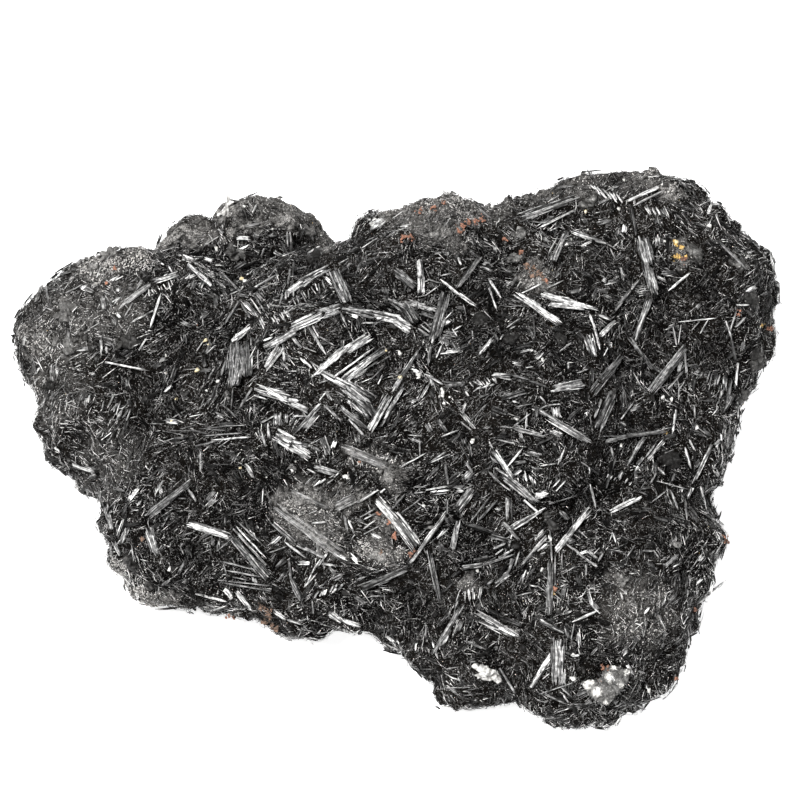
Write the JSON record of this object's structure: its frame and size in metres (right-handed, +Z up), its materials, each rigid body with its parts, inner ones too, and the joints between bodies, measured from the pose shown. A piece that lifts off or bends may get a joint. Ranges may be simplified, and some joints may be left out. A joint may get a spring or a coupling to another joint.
{
  "type": "manganese oxide specimen",
  "caption": "Knobbly black manganese oxide specimen, a felt of intergrown needles set with striated silvery blades, resting on a flat broken base.",
  "frame": {"origin": "middle of the bounding box's underside, in the plane of the flat broken base", "axes": "+X to the right along the show face, -Y to the front, +Z up from the base"},
  "size_m": [0.1118, 0.0872, 0.0449],
  "materials": {
    "manganese_oxide": "near-black felt of fine needles with a dull metallic lustre",
    "bladed_crystals": "striated, splintery, dark grey to silvery with a sub-metallic glint",
    "mineral_grains": "matt rust, ochre and pale grains and chips"
  },
  "bodies": {
    "root": {"manganese_oxide_specimen": "manganese_oxide"}
  },
  "joints": []
}
